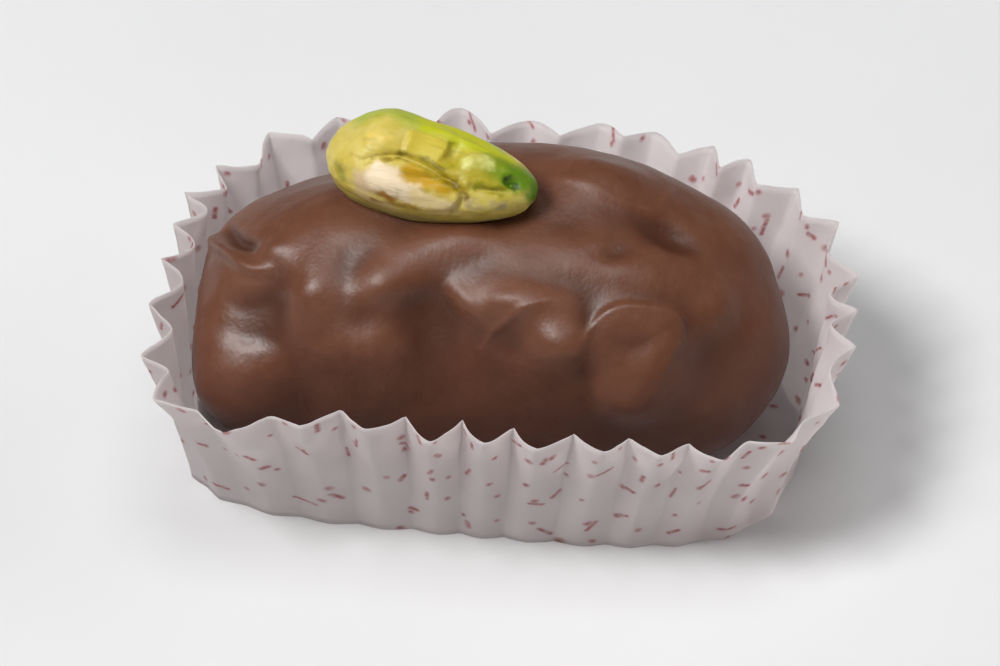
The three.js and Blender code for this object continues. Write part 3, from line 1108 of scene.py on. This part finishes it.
@dataclass
class PistachioKernel(Piece):
    """The kernel: an angular seed with a split along its front and skin left on it."""

    node: str = "pistachio_kernel"
    name: str = "pistachio"
    slot: Slot = Slot.PISTACHIO
    turn: Euler = field(default_factory=lambda: Euler((0, math.radians(3), math.radians(-7)), "XYZ"))
    shift: Point = (0.0, -0.28, -0.485)
    grid: float = 0.11
    smoothing: int = 40
    ripples: tuple[Ripple, ...] = (Ripple(0.8, 0.07, 5.0, 0.3), Ripple(1.9, 0.14, 11.0, 0.55))
    shapes: tuple[Shape, ...] = (
        # The split, from the blunt end to its foot, with the skin standing out below it.
        Fold(((-5.2, -3.4, 2.4), (-4.0, -3.1, 3.0), (-2.2, -2.6, 3.4), (-0.7, -2.5, 3.1),
              (1.6, -2.9, 2.5), (3.6, -3.4, 1.3)), -0.45, 0.3, -0.35, 1.0),
        Fold(((3.5, -3.3, 1.6), (3.2, -3.6, 0.6), (2.6, -3.6, -0.8)), -0.35, 0.3, -0.2, 0.8),
        Fold(((3.6, -2.9, 1.8), (5.3, -2.4, 1.5), (6.9, -1.6, 1.2)), -0.32, 0.28, -0.2, 0.8),
        # The raised plate of skin on the back, and its steep right-hand edge.
        Fold(((1.6, 0.2, 3.6), (1.3, -1.2, 3.4), (0.9, -2.2, 3.0)), 0.0, 0.22, -0.5, 1.2),
        Fold(((-1.8, 0.2, 4.1), (-1.9, -1.2, 3.9), (-1.9, -2.2, 3.5)), -0.12, 0.22, 0.26, 0.9),
        Swell((2.1, -0.8, 3.3), (0.55, 1.2, 0.6), -0.4, 12),
        Swell((3.8, -0.9, 3.0), (1.2, 0.7, 0.8), 0.42, 15),
        Swell((1.6, 0.7, 3.6), (2.8, 0.5, 0.6), 0.28, -4),
        Swell((5.6, -1.4, 2.2), (0.9, 0.7, 0.7), -0.22),
        # The pit near the tip, with its swollen rim.
        Swell((6.6, -0.9, 1.9), (1.2, 1.0, 1.0), 0.3),
        Swell((6.7, -1.15, 1.75), (0.6, 0.45, 0.6), -0.95),
        # The hollow of the split, and the bulging skin to its left.
        Swell((0.6, -3.3, 2.3), (2.0, 0.45, 0.5), -0.45, 6),
        Swell((2.2, -3.2, 2.0), (1.4, 0.3, 0.35), 0.16, 4),
        Swell((3.4, -2.8, 2.2), (0.35, 0.35, 0.35), 0.26),
        Swell((-2.4, -4.0, 1.6), (2.0, 0.9, 1.0), 0.36),
        Swell((5.0, -3.0, 0.4), (1.5, 0.8, 0.7), 0.26),
        Swell((-6.6, -3.0, 0.8), (0.7, 0.7, 0.7), -0.25),
        # The far side's own split and lobes.
        Fold(((-5.0, 3.6, 0.8), (-1.0, 4.1, 0.6), (3.5, 3.4, 0.4), (6.5, 2.0, 0.3)), -0.3, 0.3, -0.2, 1.0),
        Swell((-1.5, 3.0, 3.0), (2.6, 0.6, 0.8), -0.2, -4),
    )

    def own_frame(self) -> OwnFrame:
        """Gives the kernel's own frame, +X to its tip."""
        return OwnFrame.of_node(self.node, self.turn, self.shift)

    def build(self) -> Object:
        """Models the kernel.

        Returns:
            The piece.
        """
        piece = copy_of_solid(self.node, self.name)
        apply_modifier(piece, "even", "REMESH", mode="VOXEL", voxel_size=self.grid * MM)
        apply_modifier(piece, "round", "SMOOTH", factor=0.5, iterations=self.smoothing)
        own = self.own_frame()
        for shapes in (self.shapes, self.ripples):
            push_out(piece, relief_on(piece, own, shapes))
        apply_modifier(piece, "soften", "SMOOTH", factor=0.5, iterations=1)
        shade_smooth(piece)
        return piece


@dataclass(frozen=True)
class Flare:
    """A place where the rim leans further out: its share of the way round, its spread and reach."""

    place: float
    spread: float
    reach: float

    def over(self, shares: np.ndarray) -> np.ndarray:
        """Gives how far out it takes the rim at shares of the way round."""
        return self.reach * np.exp(-(((shares - self.place) / self.spread) ** 2))


@dataclass(frozen=True)
class Crumple:
    """A kind of unevenness in handled paper: its size, its depth and a seed for each axis."""

    size: float
    depth: float
    seeds: Point
    sharp: bool = True

    def along(self, axis: int, places: np.ndarray) -> np.ndarray:
        """Gives how far it moves each place along an axis."""
        swing = waver(places, self.size, self.seeds[axis])
        return self.depth * (0.5 - np.abs(swing) if self.sharp else swing)


@dataclass
class PaperCase(Piece):
    """The fluted case, pressed from one thin sheet. Pairs of sizes are a length and a width."""

    node: str = "paper_case"
    name: str = "fluted_case"
    slot: Slot = Slot.PAPER
    base: Pair = (47.4, 27.6)
    rim: Pair = (52.4, 36.8)
    base_centre: Pair = (-1.35, 0.2)
    rim_centre: Pair = (-0.25, 0.1)
    height: float = 14.5
    squareness: tuple[float, ...] = (2.25, 2.9, 4.5, 3.6)
    flare: float = 1.15
    flutes: int = 32
    flute_depth: float = 2.1
    base_flute_depth: float = 0.4
    flute_growth: float = 1.5
    flutes_from: float = 0.6
    # How uneven the flutes are in place, roundness, depth and height.
    drift: float = 0.003
    flute_jitter: float = 0.1
    rounding: float = 0.4
    depth_lean: float = 0.1
    depth_sway: float = 0.25
    depth_jitter: float = 0.15
    lift_sway: float = 0.5
    lift_jitter: float = 0.15
    flares: tuple[Flare, ...] = (
        Flare(0.185, 0.045, 1.6),
        Flare(0.608, 0.04, 2.2),
        Flare(0.91, 0.06, 1.8),
    )
    droop: float = 0.35
    crumples: tuple[Crumple, ...] = (
        Crumple(3.4, 0.18, (21.0, 34.0, 55.0), sharp=False),
        Crumple(4.8, 0.35, (8.0, 13.0, 44.0)),
        Crumple(2.2, 0.16, (5.0, 17.0, 29.0)),
    )
    columns: int = 20
    base_rows: int = 5
    wall_rows: int = 26
    outline_steps: int = 4000
    inset: float = 0.22
    paper: float = 0.09
    uv_name: str = "sheet"
    uv_span: float = 90.0
    flat_base: float = 18.0
    flat_wall: float = 17.0
    seed: int = 7

    def outline(self, half: np.ndarray) -> tuple[np.ndarray, np.ndarray]:
        """Traces an oval finely.

        Args:
            half: Half its length and width in millimetres.

        Returns:
            The share of the way round, and the points.
        """
        turns = np.linspace(0, 1, self.outline_steps + 1)
        circle = circle_at(turns)
        quarter = np.minimum(3, (4 * turns).astype(int))
        power = np.array(self.squareness)[quarter]
        reach = (np.abs(circle) ** power[:, None]).sum(axis=1) ** (-1 / power)
        points = half * circle * reach[:, None]
        steps = np.linalg.norm(np.diff(points, axis=0), axis=1)
        return np.concatenate([[0], np.cumsum(steps)]) / steps.sum(), points

    def ring(self, half: np.ndarray, shares: np.ndarray) -> tuple[np.ndarray, np.ndarray]:
        """Places points round an oval.

        Args:
            half: Half its length and width in millimetres.
            shares: Where the points go, as shares of the way round.

        Returns:
            The points and their outward normals.
        """
        share, points = self.outline(half)
        step = 1e-3

        def at(where: np.ndarray) -> np.ndarray:
            """Gives the points at shares of the way round."""
            wrapped = np.mod(where, 1.0)
            return np.stack([np.interp(wrapped, share, points[:, k]) for k in (0, 1)], axis=1)

        tangent = at(shares + step) - at(shares - step)
        tangent = tangent / np.linalg.norm(tangent, axis=1)[:, None]
        return at(shares), np.stack([tangent[:, 1], -tangent[:, 0]], axis=1)

    def build(self) -> Object:
        """Models the case: a flat sheet is cut, rolled to an oval, fluted and given its thickness.

        Returns:
            The piece.
        """
        across, rows = self.flutes * self.columns, self.base_rows + self.wall_rows
        bpy.ops.object.select_all(action="DESELECT")
        size = self.rim[0] * MM
        bpy.ops.mesh.primitive_grid_add(x_subdivisions=across, y_subdivisions=rows, size=size)
        piece = bpy.context.active_object
        piece.name = piece.data.name = self.name
        places, flat = self.press(across, rows)
        move_points(piece, places)
        self.lay_flat_map(piece, flat)
        clean_up(piece)
        thickness = {"thickness": self.paper * MM, "offset": 0.0, "use_even_offset": False}
        apply_modifier(piece, "paper", "SOLIDIFY", **thickness)
        shade_smooth(piece)
        return piece

    def flute_wave(self, shares: np.ndarray, jitter: np.ndarray) -> np.ndarray:
        """Gives the flutes' wave, -0.5 to 0.5: pointed in some places and rounded in others.

        Args:
            shares: Shares of the way round.
            jitter: How far each flute is off its even place, about -1 to 1.

        Returns:
            The wave at each share.
        """
        phase = math.pi * (shares * self.flutes + self.flute_jitter * jitter)
        pointed = 0.5 - np.abs(np.sin(phase))
        rounded = np.abs(np.cos(phase)) - 0.5
        return between(pointed, rounded, 0.5 + self.rounding * sway(shares, 2, -0.25))

    def press(self, across: int, rows: int) -> tuple[np.ndarray, np.ndarray]:
        """Works out where each point of the sheet goes when the case is pressed.

        Args:
            across: Steps round the case.
            rows: Steps from the middle of the base to the rim.

        Returns:
            The places in millimetres, row by row, and where each lies on the flat sheet.
        """
        even = np.linspace(0, 1, across + 1)
        lots = np.random.default_rng(self.seed).uniform(-1, 1, (3, self.flutes + 1))
        lots[:, -1] = lots[:, 0]
        knots = np.arange(self.flutes + 1)
        jitter, deeper, taller = (np.interp(even * self.flutes, knots, row) for row in lots)
        shares = even + self.drift * (sway(even, 3, 0.1) + sway(even, 7, 0.4))
        wave = self.flute_wave(even, jitter)
        unevenness = 1 - self.depth_lean * sway(even, 1, 0.25)
        unevenness = unevenness + self.depth_sway * sway(even, 5, 0.2) * sway(even, 2, 0.35)
        deepest = self.flute_depth * (unevenness + self.depth_jitter * deeper)
        lift = self.lift_sway * sway(even, 4, 0.6) * sway(even, 9, 0.15) + self.lift_jitter * taller
        flare = np.max([flare.over(even) for flare in self.flares], axis=0)
        base, rim = np.array(self.base), np.array(self.rim)
        base_centre, rim_centre = np.array(self.base_centre), np.array(self.rim_centre)
        places, flat = [], []
        for row in range(rows + 1):
            reach = min(1.0, row / self.base_rows)
            rise = max(0.0, (row - self.base_rows) / self.wall_rows)
            spread = rise**self.flare
            ring, normal = self.ring(between(base, rim, spread) / 2 - self.inset, shares)
            depth = between(self.base_flute_depth, deepest, rise**self.flute_growth)
            lean = flare * rise**2
            out = depth * wave * smoothstep(self.flutes_from, 1.0, reach) + lean
            ring = ring * reach + normal * out[:, None] + between(base_centre, rim_centre, spread)
            level = between(self.paper, self.height, rise) + lift * rise - self.droop * lean
            places.append(np.column_stack([ring, level]))
            flat.append((self.flat_base * reach + rise * self.flat_wall) * circle_at(even))
        places = self.crumple(np.concatenate(places)).reshape(rows + 1, across + 1, 3)
        places[:, -1] = places[:, 0]
        places[0] = places[0].mean(axis=0)
        return places.reshape(-1, 3), np.concatenate(flat)

    def crumple(self, places: np.ndarray) -> np.ndarray:
        """Adds soft dents and a few sharp creases, more towards the rim.

        Args:
            places: Places in millimetres, one row each.

        Returns:
            The places that they move to.
        """
        wall = np.clip(places[:, 2] / self.height, 0, 1)
        moves = [sum(kind.along(axis, places) for kind in self.crumples) for axis in range(3)]
        return places + wall[:, None] * np.stack(moves, axis=1)

    def lay_flat_map(self, piece: Object, flat: np.ndarray) -> None:
        """Keeps each point's place on the flat sheet as the piece's map, for the print.

        Args:
            piece: The case, still one thin sheet.
            flat: Where each of its points lies on the flat sheet, in millimetres.
        """
        layer = piece.data.uv_layers.active or piece.data.uv_layers.new()
        layer.name = self.uv_name
        corners = np.empty(len(piece.data.loops), dtype=np.int64)
        piece.data.loops.foreach_get("vertex_index", corners)
        layer.data.foreach_set("uv", (flat[corners] / self.uv_span + 0.5).ravel())


# --- Studio ---


@dataclass(frozen=True)
class Lamp:
    """A soft square light that faces the piece: its place and side in metres, power in watts.

    One that isn't glossy is left out of what shiny faces mirror.
    """

    name: str
    place: Point
    side: float
    power: float
    glossy: bool = True

    def hang(self) -> None:
        """Hangs the lamp."""
        lamp = bpy.data.lights.new(self.name, "AREA")
        lamp.shape = "SQUARE"
        lamp.size = self.side
        lamp.energy = self.power
        holder = put_in_scene(self.name, lamp)
        holder.location = self.place
        holder.rotation_euler = (-Vector(self.place)).to_track_quat("-Z", "Y").to_euler()
        holder.visible_glossy = self.glossy


@dataclass
class Studio:
    """The pale tabletop, the soft lights and the camera."""

    azimuth: float = math.radians(10.7)
    elevation: float = math.radians(40.5)
    roll: float = math.radians(2.0)
    distance: float = 1.2
    lens: float = 560.0
    aim: Point = (-0.6, -2.0, 11.0)
    room: Colour = (0.96, 0.98, 1.0, 1)
    room_strength: float = 0.12
    floor_side: float = 6.0
    lamps: tuple[Lamp, ...] = (
        Lamp("key", (-0.38, -0.33, 0.81), 0.34, 7.8),
        Lamp("window", (0.1, 0.0, 1.0), 0.5, 2.4),
        Lamp("fill", (0.85, 0.4, 0.32), 0.9, 2.8, False),
    )

    def build(self, finish: Material) -> None:
        """Sets up the floor, the lights, the surroundings and the camera.

        Args:
            finish: The tabletop's material.
        """
        self.lay_floor(finish)
        for lamp in self.lamps:
            lamp.hang()
        self.surround()
        self.place_camera()

    def lay_floor(self, finish: Material) -> None:
        """Lays the tabletop that the case stands on.

        Args:
            finish: The tabletop's material.
        """
        bpy.ops.object.select_all(action="DESELECT")
        bpy.ops.mesh.primitive_plane_add(size=self.floor_side, location=(0, 0, CAD_LOW.z))
        floor = bpy.context.active_object
        floor.name = floor.data.name = "tabletop"
        bpy.ops.object.transform_apply(location=True, rotation=True, scale=True)
        floor.data.materials.append(finish)

    def surround(self) -> None:
        """Gives the room an even pale light."""
        world = bpy.data.worlds.new("room")
        bpy.context.scene.world = world
        world.use_nodes = True
        back = world.node_tree.nodes["Background"]
        back.inputs["Color"].default_value = self.room
        back.inputs["Strength"].default_value = self.room_strength

    def place_camera(self) -> None:
        """Sets the camera at its azimuth, elevation and roll."""
        back = Vector((
            math.sin(self.azimuth) * math.cos(self.elevation),
            -math.cos(self.azimuth) * math.cos(self.elevation),
            math.sin(self.elevation),
        ))
        lens = bpy.data.cameras.new("view")
        lens.lens = self.lens
        lens.sensor_width = 36.0
        lens.clip_start = 0.01
        camera = put_in_scene("view", lens)
        aim = Vector(self.aim) * MM
        camera.location = aim + back * self.distance
        facing = back.to_track_quat("Z", "Y").to_matrix()
        camera.rotation_euler = (facing @ Matrix.Rotation(-self.roll, 3, "Z")).to_euler()
        bpy.context.scene.camera = camera
        bpy.context.scene.view_settings.view_transform = "Standard"


def main() -> None:
    """Builds and dresses the pieces in order, then the studio."""
    logging.basicConfig(level=logging.INFO)
    groups = {"mottle": mottle_group(), "marks": marks_group(), "dab": dab_group()}

    date, seed, case = ChocolateDate(), PistachioKernel(), PaperCase()
    kernel = seed.build()
    coat = date.build(kernel)
    paper = case.build()

    date.dress(coat, ChocolateFinish("chocolate", groups).make())
    middle = Vector(seed.own_frame().origin) * MM
    seed.dress(kernel, KernelFinish("pistachio", groups, middle, seed.turn).make())
    case.dress(paper, PaperFinish("glassine", groups, case.uv_name, case.uv_span).make())
    for piece in (coat, kernel, paper):
        LOG.info("%s: %d faces", piece.name, len(piece.data.polygons))

    Studio().build(FloorFinish("tabletop", groups).make())


if __name__ == "__main__":
    main()
